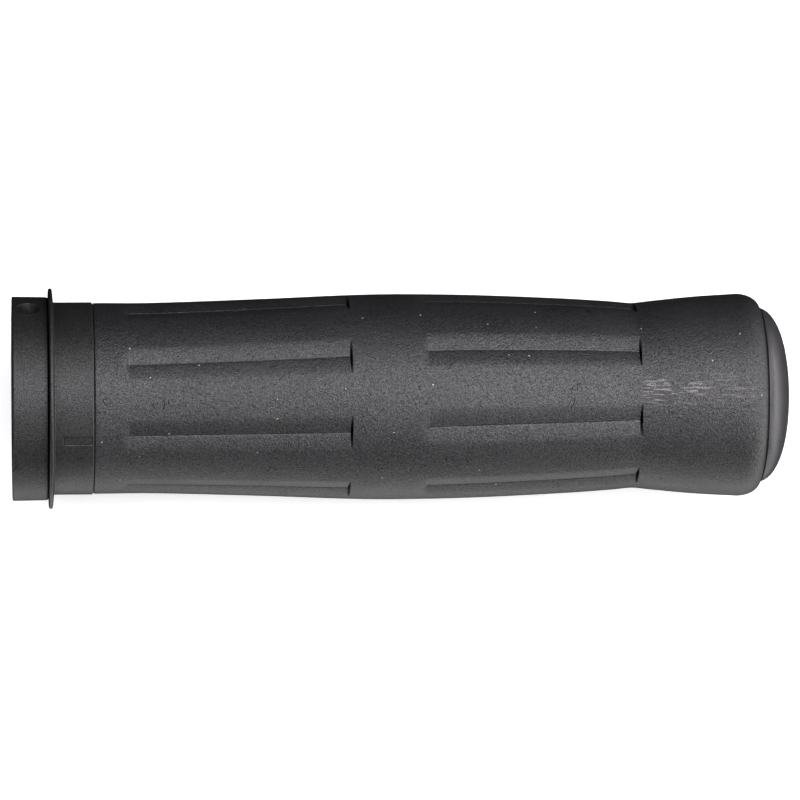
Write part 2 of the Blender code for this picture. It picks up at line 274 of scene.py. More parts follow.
class GripStage(bpy.types.PropertyGroup):
    """Camera and light."""

    camera_height: FloatProperty(
        name="Camera Height", description="Height of the camera over the grip's axis",
        default=1.1, min=0.2, unit="LENGTH", subtype="DISTANCE",
    )
    camera_foot: FloatProperty(
        name="Camera Foot", description="Place along the grip that the camera is straight above",
        default=-9.0 * MM, unit="LENGTH", subtype="DISTANCE",
    )
    camera_roll: FloatProperty(
        name="Camera Roll", description="Turn of the camera about its own line of sight",
        default=math.radians(-0.33), unit="ROTATION", subtype="ANGLE",
    )
    lens: FloatProperty(
        name="Lens", description="Focal length in millimetres", default=279.7, min=20.0,
    )
    strip: FloatProperty(
        name="Strip Brightness", description="Radiance of the overhead strip", default=5.5, min=0.0,
    )
    rear_card: FloatProperty(
        name="Rear Card Brightness", description="Radiance of the wide card on the +Y side",
        default=1.5, min=0.0,
    )
    front_card: FloatProperty(
        name="Front Card Brightness", description="Radiance of the card on the -Y side",
        default=1.5, min=0.0,
    )
    low_card: FloatProperty(
        name="Low Card Brightness", description="Radiance of the card on the floor",
        default=1.2, min=0.0,
    )
    low_end_card: FloatProperty(
        name="Low End Card Brightness", description="Radiance of the floor card past the domed end",
        default=0.9, min=0.0,
    )
    end_card: FloatProperty(
        name="End Card Brightness", description="Radiance of the card past the domed end",
        default=4.2, min=0.0,
    )
    top_card: FloatProperty(
        name="Top Card Brightness", description="Radiance of the card over the domed end",
        default=3.2, min=0.0,
    )


# Surfaces

def curve_through(knots, x):
    """Cubic Hermite curve through knots of (x, value), with central slopes, flat beyond both ends."""
    places, values = np.array(knots, float).T
    left = np.r_[0, np.arange(len(places) - 1)]
    right = np.r_[np.arange(1, len(places)), len(places) - 1]
    slopes = (values[right] - values[left]) / (places[right] - places[left])
    x = np.clip(np.asarray(x, float), places[0], places[-1])
    i = np.clip(np.searchsorted(places, x, side="right") - 1, 0, len(places) - 2)
    span = places[i + 1] - places[i]
    t = (x - places[i]) / span
    start = values[i] * (1 + 2 * t) * (1 - t) ** 2 + slopes[i] * span * t * (1 - t) ** 2
    end = values[i + 1] * t * t * (3 - 2 * t) + slopes[i + 1] * span * t * t * (t - 1)
    return start + end


def arc(centre, size, start, end, count=7):
    """Profile points (x, radius) on a circle: centre + size * (cos a, sin a), a from start to end."""
    angles = np.linspace(start, end, count)
    return np.column_stack((centre[0] + size * np.cos(angles), centre[1] + size * np.sin(angles)))


def smooth_step(value):
    """3 t^2 - 2 t^3, with t the value held between 0 and 1."""
    t = np.clip(value, 0.0, 1.0)
    return t * t * (3.0 - 2.0 * t)


def columns(count, *centres_and_spans):
    """Evenly spaced angles round the axis, with finer ones added within a span of each centre."""
    sets = [np.linspace(0.0, math.tau, count, endpoint=False)]
    for centre, span, fine in centres_and_spans:
        sets.append(np.linspace(centre - span, centre + span, fine) % math.tau)
    return np.unique(np.round(np.concatenate(sets), 6))


def wrapped(angle):
    """The same angle between -pi and pi."""
    return (np.asarray(angle) + math.pi) % math.tau - math.pi


def ring_points(x, radius, angle):
    """Points at (x, radius * sin angle, radius * cos angle), one row for each ring."""
    x, radius, angle = np.broadcast_arrays(x, radius, angle)
    return np.stack((x, radius * np.sin(angle), radius * np.cos(angle)), axis=-1)


def ring_mesh(name, points, closed_loop, painted_shade=None):
    """Join rings of points into one closed surface, facing outwards.

    points has a row for each ring, and each ring is closed. With closed_loop the last ring joins the
    first; otherwise the first and the last ring are one point each on the axis. The last argument holds
    a number for each point: how much shade the material paints there.
    """
    rings, across = points.shape[:2]
    ring = np.arange(rings if closed_loop else rings - 1)[:, None]
    col = np.arange(across)[None, :]
    after = (ring + 1) % rings
    beside = (col + 1) % across
    quads = np.stack(np.broadcast_arrays(
        ring * across + col, after * across + col, after * across + beside, ring * across + beside,
    ), axis=-1).reshape(-1, 4)
    mesh = bpy.data.meshes.new(name)
    mesh.from_pydata(points.reshape(-1, 3), [], quads.tolist())
    if painted_shade is not None:
        mesh.attributes.new("painted_shade", "FLOAT", "POINT").data.foreach_set("value", painted_shade.ravel())
    obj = bpy.data.objects.new(name, mesh)
    bpy.context.scene.collection.objects.link(obj)
    weld_and_face_outwards(mesh)
    mesh.polygons.foreach_set("use_smooth", np.ones(len(mesh.polygons), bool))
    mesh.set_sharp_from_angle(angle=SHARP_ANGLE)
    mesh.update()
    return obj


def weld_and_face_outwards(mesh):
    """Merge points that fall together, at the poles and where two stretches of a profile meet."""
    bm = bmesh.new()
    bm.from_mesh(mesh)
    bmesh.ops.remove_doubles(bm, verts=bm.verts, dist=WELD_DISTANCE)
    bmesh.ops.dissolve_degenerate(bm, edges=bm.edges, dist=WELD_DISTANCE / 10)
    bmesh.ops.recalc_face_normals(bm, faces=bm.faces)
    bm.to_mesh(mesh)
    bm.free()


def place(obj, body, node, material):
    """Ride on a body, hide the CAD node that it stands for, and wear a material."""
    obj.data.materials.clear()
    obj.data.materials.append(material)
    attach(obj, body)
    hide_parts(node)


def in_window(x, span, blend):
    """1 inside an axial span, falling to 0 over a blend length at both ends."""
    rise = smooth_step((x - span[0] + blend / 2) / blend)
    fall = smooth_step((span[1] + blend / 2 - x) / blend)
    return rise * fall


def rows_with(edges, start, end, step):
    """Axial stations from start to end at about a step, with four close ones at each edge.

    The last one may fall short of the end by a rounding, so the profile's next stretch starts there.
    """
    count = max(2, int(round((end - start) / step)))
    fine = [edge + offset for edge in edges for offset in (-0.06 * MM, -0.02 * MM, 0.02 * MM, 0.06 * MM)]
    stations = np.unique(np.round(np.r_[np.linspace(start, end, count + 1), fine], 8))
    return stations[(stations >= start) & (stations <= end)]


def sleeve_surface():
    """Turned profile of the sleeve, with two keys raised on the spigot and a mark sunk in the collar.

    radius = profile radius + key height inside the keys - mark depth inside the mark. Also returns how
    much shade is painted on each point of the mark's upper and inboard lines, from 0 to 1.
    """
    edge = EDGE_ROUND
    tip = (FLANGE_FACE + FLANGE_TIP_ROUND, FLANGE_RADIUS - FLANGE_TIP_ROUND)
    fillet = FLANGE_FILLET
    spigot_x = rows_with(KEY_SPAN, edge, FLANGE_FACE, SPIGOT_STEP)
    collar_x = rows_with(MARK_SPAN, FLANGE_BACK + fillet, COLLAR_END - edge, COLLAR_STEP)
    sections = [
        arc((edge, BORE_RADIUS + edge), edge, 1.5 * math.pi, math.pi),
        arc((edge, SPIGOT_RADIUS - edge), edge, math.pi, math.pi / 2),
        np.column_stack((spigot_x, np.full_like(spigot_x, SPIGOT_RADIUS))),
        np.array([(FLANGE_FACE, SPIGOT_RADIUS)]),
        arc(tip, FLANGE_TIP_ROUND, math.pi, 0.0, 13),
        arc((FLANGE_BACK + fillet, COLLAR_RADIUS + fillet), fillet, math.pi, 1.5 * math.pi),
        np.column_stack((collar_x, np.full_like(collar_x, COLLAR_RADIUS))),
        arc((COLLAR_END - edge, COLLAR_RADIUS - edge), edge, math.pi / 2, 0.0),
        np.array([(COLLAR_END, TUBE_RADIUS)]),
        np.column_stack((np.linspace(COLLAR_END, TUBE_END - edge, 24), np.full(24, TUBE_RADIUS))),
        arc((TUBE_END - edge, TUBE_RADIUS - edge), edge, math.pi / 2, 0.0),
        arc((TUBE_END - edge, BORE_RADIUS + edge), edge, 0.0, -math.pi / 2),
        np.column_stack((np.linspace(TUBE_END - edge, edge, 24), np.full(24, BORE_RADIUS))),
    ]
    profile = np.concatenate(sections)
    x, radius = profile[:, :1], profile[:, 1:]
    key_half = KEY_WIDTH / 2 / SPIGOT_RADIUS
    mark_half = MARK_WIDTH / 2 / COLLAR_RADIUS
    fine = [(a + side * key_half, math.radians(0.6), 7) for a in KEY_ANGLES for side in (-1, 1)]
    fine += [(MARK_ANGLE + side * mark_half, math.radians(0.6), 9) for side in (-1, 1)]
    angle = columns(RING_COLUMNS, *fine)[None, :]
    soft = STEP_BLEND_ANGLE
    keys = sum(in_window(wrapped(angle - a), (-key_half, key_half), soft) for a in KEY_ANGLES)
    on_spigot = (radius == SPIGOT_RADIUS) * in_window(x, KEY_SPAN, STEP_BLEND)
    mark = in_window(wrapped(angle - MARK_ANGLE), (-mark_half, mark_half), soft)
    fade = 1.0 - MARK_FADE * smooth_step((x - MARK_SPAN[0]) / (MARK_SPAN[1] - MARK_SPAN[0]))
    on_collar = (radius == COLLAR_RADIUS) * in_window(x, MARK_SPAN, STEP_BLEND) * fade
    radius = radius + keys * on_spigot * (KEY_TOP - SPIGOT_RADIUS) - mark * on_collar * MARK_DEPTH
    top_line = in_window(wrapped(angle - MARK_ANGLE), (0.8 * mark_half, 1.05 * mark_half), soft)
    end_line = mark * in_window(x, (MARK_SPAN[0], MARK_SPAN[0] + MARK_LINE), STEP_BLEND)
    # The mark's upper and inboard lines carry painted shade.
    return ring_points(x, radius, angle), 0.5 * on_collar * np.maximum(top_line, end_line)


def drum_surface(seat_depth):
    """Turned ring with two keyways in its bore, a round cable seat and a half-round rim notch.

    Seat and notch: distance from a centre on the unrolled ring, d = sqrt(dx^2 + (R dangle)^2), sinks the
    surface by a depth that ends over a thin wall at the edge radius. Also returns how much shade is
    painted on each point, from 0 to 1: partly in the seat, and fully in the joint beside the flange.
    """
    edge, outer_edge, face = DRUM_EDGE, DRUM_OUTER_EDGE, DRUM_FACE
    outer_x = rows_with((), edge, face - outer_edge, DRUM_STEP)
    outer_radius = DRUM_RADIUS - DRUM_TAPER * outer_x / face
    bore_x = np.linspace(face, 0.0, 12)
    sections = [
        arc((edge, DRUM_RADIUS - edge), edge, math.pi, math.pi / 2),
        np.column_stack((outer_x, outer_radius)),
        arc((face - outer_edge, DRUM_RADIUS - DRUM_TAPER - outer_edge), outer_edge, math.pi / 2, 0.0, 7),
        np.column_stack((bore_x, np.full_like(bore_x, DRUM_BORE))),
    ]
    profile = np.concatenate(sections)
    x, radius = profile[:, :1], profile[:, 1:]
    keyway_half = KEYWAY_WIDTH / 2 / DRUM_BORE
    fine = [(a + side * keyway_half, math.radians(0.5), 5) for a in KEY_ANGLES for side in (-1, 1)]
    fine += [(SEAT_ANGLE, SEAT_FINE, 60), (NOTCH_ANGLE, NOTCH_FINE, 60)]
    angle = columns(RING_COLUMNS, *fine)[None, :]
    seat_reach = np.hypot(x - SEAT_X, DRUM_RADIUS * wrapped(angle - SEAT_ANGLE))
    seat = smooth_step((SEAT_RADIUS - seat_reach) / CUT_WALL)
    notch_reach = np.hypot(x - NOTCH_X, DRUM_RADIUS * wrapped(angle - NOTCH_ANGLE))
    notch = smooth_step((NOTCH_RADIUS - notch_reach) / CUT_WALL)
    outside = radius > (DRUM_RADIUS + KEYWAY_TOP) / 2
    sunk = seat * seat_depth + notch * NOTCH_DEPTH
    keyways = sum(
        in_window(wrapped(angle - a), (-keyway_half, keyway_half), math.radians(0.4)) for a in KEY_ANGLES
    )
    in_bore = radius == DRUM_BORE
    radius = radius - outside * sunk + in_bore * keyways * (KEYWAY_TOP - DRUM_BORE)
    # Painted shade: fully in the joint beside the flange, and partly in the seat.
    flange_joint_shade = smooth_step((x - face + outer_edge) / (0.5 * outer_edge))
    painted_shade = outside * np.maximum(SEAT_SHADE * seat, flange_joint_shade)
    return ring_points(x, radius, angle), painted_shade.astype(float)


def valley_columns():
    """Angles round the grip, measured from the reference valley, close together at each valley line."""
    half = np.radians([0.12, 0.3, 0.6, 1.0, 1.6, 2.4, 3.4, 4.6, 6.0, 7.4, 8.6, 9.4, 10.0, 10.6,
                       11.25, 12.0, 13.5, 15.5, 18.0, 20.5])
    one = np.r_[-half[::-1], 0.0, half, math.pi / LOBES]
    return np.concatenate([one + math.tau * i / LOBES for i in range(LOBES)])


def row_stations(start, end):
    """Stations of one row of lobes, as columns of x, open x, radius share, funnel, cut and rim.

    x is a station's place outside the valleys and open x its place on a valley line. The radius share
    is the part of the full valley depth, funnel dips the band before the step, cut deepens the slit and
    rim rounds the band's edge over it.
    """
    def at(x, open_x=None, share=0.0, funnel=0.0, cut=0.0, rim=0.0):
        return (x, x if open_x is None else open_x, share, funnel, cut, rim)

    funnel = [at(start - back * MM, funnel=f) for back, f in (
        (1.3, 0.0), (1.0, 0.08), (0.7, 0.28), (0.45, 0.55), (0.2, 0.85), (0.05, 1.0))]
    step = [
        at(start, share=0.08, funnel=0.8),
        at(start + 0.2 * MM, share=0.93),
        at(start + 0.26 * MM, share=1.0),
    ]
    inner = [at(x, share=1.0) for x in np.linspace(start + 0.4 * MM, end - 0.9 * MM, 40)]
    slit = [
        at(end - 0.55 * MM, end - 0.62 * MM, share=1.0),
        at(end - 0.30 * MM, end - 0.44 * MM, share=1.0),
        at(end - 0.25 * MM, end - 0.40 * MM, share=1.0, cut=0.1),
        at(end - 0.20 * MM, end - 0.37 * MM, share=1.0, cut=0.6),
        at(end - 0.16 * MM, end - 0.33 * MM, share=1.0, cut=1.0),
        at(end - 0.12 * MM, end + 0.10 * MM, share=1.0, cut=1.0),
        at(end - 0.08 * MM, end + 0.12 * MM, share=0.9),
        at(end - 0.05 * MM, end - 0.01 * MM, share=0.25),
        at(end - 0.02 * MM, end - 0.01 * MM, rim=1.0),
        at(end + 0.03 * MM),
    ]
    return np.array(funnel + step + inner + slit)


def rubber_surface(sizes):
    """Lobed rubber: an outline turned about the axis, with eight leaning valleys in each row.

    radius = outline(x) - depth * ramp(f), with f = 1 - angle / half angle from the valley line and
    ramp(f) = (sqrt(f^2 + s^2) - s) / (sqrt(1 + s^2) - s), which starts softly at the valley's edge and
    runs straight to its line. A fine crease lies on the line, with a thin bead of flash beside it. The
    slit opens as 1 - (angle / slit half angle)^2. Also returns how deep in the slit each point is, from
    0 to 1, which the material paints as shade.
    """
    bands = [
        (RUBBER_START + START_MARGIN, ROW_2[0] - FUNNEL_LENGTH),
        (ROW_2[1] + ROW_MARGIN, ROW_1[0] - FUNNEL_LENGTH),
        (ROW_1[1] + ROW_MARGIN, HEAD_FULL[0]),
    ]
    counts = (6, 12, 24)
    plain = []
    for (low, high), count in zip(bands, counts):
        x = np.linspace(low, high, count)[:, None]
        plain.append(np.hstack((x, x, np.zeros((count, 4)))))
    outer = np.concatenate((plain[0], row_stations(*ROW_2), plain[1], row_stations(*ROW_1), plain[2]))
    x, open_x, share, funnel, cut, rim = (outer[:, i:i + 1] for i in range(6))
    angle = valley_columns()[None, :]
    signed = (angle + math.pi / LOBES) % (math.tau / LOBES) - math.pi / LOBES
    from_line = np.abs(signed)
    flank = np.clip(1.0 - from_line / sizes.valley_angle, 0.0, 1.0)
    soft = VALLEY_SOFTNESS
    ramp = (np.hypot(flank, soft) - soft) / (math.hypot(1.0, soft) - soft)
    bead = np.exp(-((signed - BEAD_ANGLE) / BEAD_WIDTH) ** 2)
    crease = np.exp(-from_line / CREASE_ANGLE) - BEAD_SHARE * bead
    opening = np.clip(1.0 - (from_line / SLIT_HALF_ANGLE) ** 2, 0.0, 1.0)
    radius = (
        curve_through(OUTLINE, x) - sizes.valley_depth * (ramp + CREASE_SHARE * crease) * share
        - FUNNEL_DEPTH * funnel * flank ** 1.5 - sizes.slit_depth * opening * cut
        - SLIT_RIM_DROP * opening * rim
    )
    outer_points = ring_points(x + (open_x - x) * opening, radius, curve_through(VALLEY_LEAN, x) + angle)
    start_edge = arc(
        (RUBBER_FACE + EDGE_ROUND, OUTLINE[0][1] - EDGE_ROUND), EDGE_ROUND, math.pi, math.pi / 2, 5,
    )
    turn = np.linspace(0.0, 1.0, 16)[1:] * math.pi / 2
    head = np.column_stack((
        HEAD_FULL[0] + (LIP_X - LIP_ROUND - HEAD_FULL[0]) * np.sin(turn),
        LIP_RADIUS + (HEAD_FULL[1] - LIP_RADIUS) * np.cos(turn),
    ))
    lip = arc((LIP_X - LIP_ROUND, MOUTH_RADIUS + LIP_ROUND), LIP_ROUND, math.pi / 4, -math.pi / 2, 6)
    mouth = np.array([
        (TUBE_END, MOUTH_RADIUS), (TUBE_END, RUBBER_BORE), (RUBBER_FACE + EDGE_ROUND, RUBBER_BORE),
    ])
    inboard = arc(
        (RUBBER_FACE + EDGE_ROUND, RUBBER_BORE + EDGE_ROUND), EDGE_ROUND, 1.5 * math.pi, math.pi, 4,
    )
    before = turned(start_edge, angle)
    after = turned(np.concatenate((head, lip, mouth, inboard[1:])), angle)
    painted_shade = np.concatenate((np.zeros(before.shape[:2]), opening * cut, np.zeros(after.shape[:2])))
    return np.concatenate((before, outer_points, after)), painted_shade


def turned(profile, angle):
    """A profile turned about the axis, with its columns following the valleys' lean."""
    x, radius = profile[:, :1], profile[:, 1:]
    return ring_points(x, radius, curve_through(VALLEY_LEAN, x) + angle)


def plug_surface():
    """Dome, rim bead, seat face and ribbed hollow stem, turned about the axis.

    Dome: a superellipse about a centre inboard of the seam, so that it meets the seam at a slant:
    x = centre + height * cos(turn)^(2 / n), radius = width * sin(turn)^(2 / n), with n the fullness.
    Ribs: radius = stem radius + rib height * max(0, cos(turns along the stem))^3. Also returns 1 on the
    floor of the seam's groove, which the material paints as shade, and 0 elsewhere.
    """
    bead_centre = (LIP_X + GROOVE_WIDTH + RIM_BEAD, PLUG_RADIUS - RIM_BEAD)
    rim_bead = arc(bead_centre, RIM_BEAD, math.radians(60), math.pi)
    edge_x, edge_radius = rim_bead[0]
    height = DOME_TIP - edge_x + DOME_INSET
    last_turn = math.acos((DOME_INSET / height) ** (DOME_FULLNESS / 2))
    width = edge_radius / math.sin(last_turn) ** (2 / DOME_FULLNESS)
    turn = np.linspace(0.0, last_turn, 48)
    dome = np.column_stack((
        DOME_TIP - height + height * np.cos(turn) ** (2 / DOME_FULLNESS),
        width * np.sin(turn) ** (2 / DOME_FULLNESS),
    ))
    rim = np.array([
        (LIP_X + GROOVE_WIDTH, PLUG_RADIUS - GROOVE_DEPTH),
        (LIP_X - GROOVE_WIDTH, PLUG_RADIUS - GROOVE_DEPTH),
        (PLUG_SEAT + EDGE_ROUND, PLUG_RADIUS - RIM_DROP),
    ])
    under_centre = (PLUG_SEAT + EDGE_ROUND, PLUG_RADIUS - RIM_DROP - EDGE_ROUND)
    under = arc(under_centre, EDGE_ROUND, math.pi / 2, math.pi, 5)
    foot_x = STEM_START + EDGE_ROUND
    stem_x = np.linspace(PLUG_SEAT, foot_x, 90)
    rib_wave = np.clip(np.cos((stem_x - STEM_START) / RIB_PITCH * math.tau), 0.0, 1.0) ** 3
    rib_wave *= smooth_step((stem_x - STEM_START - PLAIN_STEM[0]) / (1.0 * MM))
    rib_wave *= smooth_step((PLUG_SEAT - PLAIN_STEM[1] - stem_x) / (1.0 * MM))
    stem = np.column_stack((stem_x, STEM_RADIUS + (RIB_RADIUS - STEM_RADIUS) * rib_wave))
    foot = arc((foot_x, STEM_RADIUS - EDGE_ROUND), EDGE_ROUND, math.pi / 2, math.pi, 5)
    inner_foot = arc((foot_x, STEM_BORE + EDGE_ROUND), EDGE_ROUND, math.pi, 1.5 * math.pi, 5)
    hollow = np.array([
        (HOLLOW_END - HOLLOW_CHAMFER, STEM_BORE), (HOLLOW_END, STEM_BORE - HOLLOW_CHAMFER), (HOLLOW_END, 0.0),
    ])
    profile = np.concatenate((dome, rim_bead[1:], rim, under[1:], stem[1:], foot[1:], inner_foot, hollow))
    points = ring_points(profile[:, :1], profile[:, 1:], columns(PLUG_COLUMNS)[None, :])
    in_groove = np.abs(profile[:, 1:] - PLUG_RADIUS + GROOVE_DEPTH) < 0.01 * MM
    return points, np.broadcast_to(in_groove, points.shape[:2]).astype(float)


# Materials

NOISE = "ShaderNodeTexNoise"
MATH = "ShaderNodeMath"
MIX = "ShaderNodeMix"
RANGE = "ShaderNodeMapRange"
BUMP = "ShaderNodeBump"
WHITE = (1.0, 1.0, 1.0, 1.0)
DEEP_SHADE = "020202"  # joints, slits and grooves that no light reaches
HOLLOW_GLOSS = 0.3  # reflection left in the hollows of a moulded grain, lowered there as painted shade


def add_node(tree, kind, inputs=None, out=None, **settings):
    """Add a node with its settings and its filled or linked inputs; return it, or one of its outputs."""
    node = tree.nodes.new(kind)
    for name, value in settings.items():
        setattr(node, name, value)
    for key, value in (inputs or {}).items():
        if isinstance(value, bpy.types.NodeSocket):
            tree.links.new(value, node.inputs[key])
        else:
            node.inputs[key].default_value = value
    return node if out is None else node.outputs[out]


def start_material(name, ior, gloss_level):
    """An empty node material with its shader, output and object coordinates."""
    material = bpy.data.materials.new(name)
    material.use_nodes = True
    tree = material.node_tree
    tree.nodes.clear()
    shader = add_node(tree, "ShaderNodeBsdfPrincipled", {"IOR": ior, "Specular IOR Level": gloss_level})
    add_node(tree, "ShaderNodeOutputMaterial", {"Surface": shader.outputs["BSDF"]})
    place_of = add_node(tree, "ShaderNodeTexCoord", out="Object")
    return material, tree, shader, place_of


def specks(tree, place_of, spacing, radius, share):
    """1 inside rare round specks: a cell's centre, kept when the cell's random number is under a share."""
    cells = add_node(tree, "ShaderNodeTexVoronoi", {"Vector": place_of, "Scale": 1.0 / spacing})
    chance = add_node(tree, "ShaderNodeSeparateColor", {0: cells.outputs["Color"]}, 0)
    chosen = add_node(tree, MATH, {0: chance, 1: share}, 0, operation="LESS_THAN")
    near = add_node(tree, MATH, {0: cells.outputs["Distance"], 1: radius / spacing}, 0, operation="LESS_THAN")
    return add_node(tree, MATH, {0: chosen, 1: near}, 0, operation="MULTIPLY")


def painted(tree, base, layers):
    """Lay colours over a base in turn, each by its own share from 0 to 1."""
    for share, colour in layers:
        base = add_node(tree, MIX, {0: share, 6: base, 7: colour}, 2, data_type="RGBA")
    return base


def embossed(tree, layers):
    """Chain heights into one normal; each layer is a height from 0 to 1 and its depth in metres."""
    normal = None
    for height, depth in layers:
        below = {} if normal is None else {"Normal": normal}
        normal = add_node(tree, BUMP, {"Height": height, "Distance": depth, "Strength": 1.0, **below}, 0)
    return normal


def shaded(colour, factor):
    """A linear RGBA colour made lighter or darker by a factor."""
    return (*(factor * c for c in colour[:3]), 1.0)


def finish_shader(tree, shader, base, gloss, rough, normal):
    """Link a colour, a tint of the reflection, a roughness and a normal to the shader."""
    links = {"Base Color": base, "Specular Tint": gloss, "Roughness": rough, "Normal": normal}
    for name, value in links.items():
        tree.links.new(value, shader.inputs[name])


def moulded_rubber(colour, grain):
    """Injection-moulded black rubber, as it comes from a textured mould and after some use.

    To the eye it is matt charcoal with soft leathery folds, dotted with pin pits and a few curled flow
    marks, with rubbed streaks on the head, pale dust and red lint. Light and shade are painted in too:
    crests lighter and glossier than hollows as sparkle, pits, flow marks and slits darkened as shade,
    and the head's streaks painted pale as a highlight.
    """
    material, tree, shader, place_of = start_material("moulded_grip_rubber", 1.52, 0.95)
    folds = add_node(tree, NOISE, {
        "Vector": place_of, "Scale": 1.0 / grain, "Detail": 3.0, "Roughness": 0.65, "Distortion": 0.5}, 0)
    # The finest grain is about 0.05 mm, too fine to show, so it is drawn at half the width of a fold.
    fine = add_node(tree, NOISE, {"Vector": place_of, "Scale": 1.0 / (0.5 * grain), "Detail": 1.0}, 0)
    # Patches of about 9 mm are a little lighter and glossier, where the mould was more worn.
    patches = add_node(tree, NOISE, {"Vector": place_of, "Scale": 1.0 / (9.0 * MM), "Detail": 2.0}, 0)
    pits = specks(tree, place_of, spacing=1.2 * MM, radius=0.13 * MM, share=0.3)
    # Flow marks are thin lines of one height of a slow noise, kept in a few places only.
    flow_field = add_node(tree, NOISE, {
        "Vector": place_of, "Scale": 1.0 / (5.5 * MM), "Detail": 1.0, "Distortion": 1.2}, 0)
    flow_line = add_node(tree, MATH, {0: flow_field, 1: 0.56, 2: 0.006}, 0, operation="COMPARE")
    flow_place = add_node(tree, NOISE, {"Vector": place_of, "Scale": 1.0 / (7.0 * MM), "Detail": 0.0}, 0)
    flow_area = add_node(tree, MATH, {0: flow_place, 1: 0.66}, 0, operation="GREATER_THAN")
    flow = add_node(tree, MATH, {0: flow_line, 1: flow_area}, 0, operation="MULTIPLY")
    # Pits and flow marks are sunk in the bump, and their colour and reflection are also painted dark as
    # shade.
    sunk = add_node(tree, MATH, {0: pits, 1: flow}, 0, operation="MAXIMUM")
    # The head is rubbed along the grip, most of all on top, so it is glossier in long thin streaks; these
    # are also painted pale as a highlight, in a band where the overhead light falls.
    along = add_node(tree, "ShaderNodeMapping", {"Vector": place_of, "Scale": (0.007, 1.0, 1.0)}, 0)
    streak_noise = add_node(tree, NOISE, {"Vector": along, "Scale": 1.0 / (0.24 * MM), "Detail": 1.5}, 0)
    streak = add_node(tree, RANGE, {
        "Value": streak_noise, "From Min": 0.54, "From Max": 0.66, "To Min": 0.0, "To Max": 1.0}, 0)
    axes = add_node(tree, "ShaderNodeSeparateXYZ", {0: place_of})
    side = add_node(tree, MATH, {0: axes.outputs["Y"], 1: 1.0 * MM}, 0, operation="SUBTRACT")
    side = add_node(tree, MATH, {0: side}, 0, operation="ABSOLUTE")
    highlight_band = add_node(tree, RANGE, {
        "Value": side, "From Min": 0.8 * MM, "From Max": 3.4 * MM, "To Min": 1.0, "To Max": 0.08}, 0)
    on_head = add_node(tree, RANGE, {
        "Value": axes.outputs["X"], "From Min": ROW_1[1] - 0.5 * MM, "From Max": ROW_1[1] + 1.0 * MM,
        "To Min": 0.0, "To Max": 1.0}, 0)
    fade = add_node(tree, RANGE, {
        "Value": axes.outputs["X"], "From Min": ROW_1[1] + 3.0 * MM, "From Max": ROW_1[1] + 19.0 * MM,
        "To Min": 1.0, "To Max": 0.2}, 0)
    on_head = add_node(tree, MATH, {0: on_head, 1: fade}, 0, operation="MULTIPLY")
    polish_and_highlight = add_node(tree, MATH, {0: streak, 1: on_head}, 0, operation="MULTIPLY")
    polish_and_highlight = add_node(tree, MATH, {0: polish_and_highlight, 1: highlight_band}, 0, operation="MULTIPLY")
    # Painted shade: this attribute is deepest in the slits, which are painted black in colour and reflection.
    slit = add_node(tree, "ShaderNodeAttribute", out="Fac", attribute_name="painted_shade")
    patch_share = add_node(tree, RANGE, {
        "Value": patches, "From Min": 0.35, "From Max": 0.65, "To Min": 0.0, "To Max": 1.0}, 0)
    # Painted sparkle and shade: the crests of the grain are painted lighter and reflect more than its
    # hollows.
    height = add_node(tree, MIX, {0: 0.55, 2: folds, 3: fine}, 0, data_type="FLOAT")
    painted_sparkle = add_node(tree, RANGE, {
        "Value": height, "From Min": 0.36, "From Max": 0.64, "To Min": 0.0, "To Max": 1.0}, 0)
    # Dust and lint are finer on the real grip, and are drawn 0.28 mm wide so that they show.
    dust = specks(tree, place_of, spacing=1.7 * MM, radius=0.14 * MM, share=0.12)
    # Painted light and shade in the colour: crests lighter as sparkle, pits, flow marks and slits darker as
    # shade, and the head's streaks pale as a highlight; patches, dust and lint are the rubber's own.
    base = painted(tree, shaded(colour, 0.5), (
        (painted_sparkle, shaded(colour, 1.5)),
        (patch_share, shaded(colour, 1.1)),
        (sunk, shaded(colour, 0.2)),
        (add_node(tree, MATH, {0: polish_and_highlight, 1: 0.5}, 0, operation="MULTIPLY"), linear("8a878d")),
        (dust, linear("a8a195")),
        (specks(tree, place_of, spacing=2.3 * MM, radius=0.14 * MM, share=0.05), linear("6a2f2e")),
        (slit, linear(DEEP_SHADE)),
    ))
    # The reflection's tint is painted the same way: lower in hollows, pits and slits as shade, full on crests
    # and streaks as sparkle and highlight.
    gloss = painted(tree, shaded(WHITE, HOLLOW_GLOSS), (
        (painted_sparkle, WHITE), (polish_and_highlight, WHITE), (sunk, shaded(WHITE, 0.15)), (slit, shaded(WHITE, 0.0)),
    ))
    matt = add_node(tree, RANGE, {
        "Value": patches, "From Min": 0.3, "From Max": 0.7, "To Min": 0.38, "To Max": 0.46}, 0)
    rough = add_node(tree, MATH, {0: polish_and_highlight, 1: -0.26, 2: matt}, 0, operation="MULTIPLY_ADD")
    proud = add_node(tree, MATH, {0: 1.0, 1: sunk}, 0, operation="SUBTRACT")
    normal = embossed(tree, ((folds, RUBBER_FOLD_DEPTH), (fine, RUBBER_FINE_DEPTH), (proud, 0.05 * MM)))
    finish_shader(tree, shader, base, gloss, rough, normal)
    return material


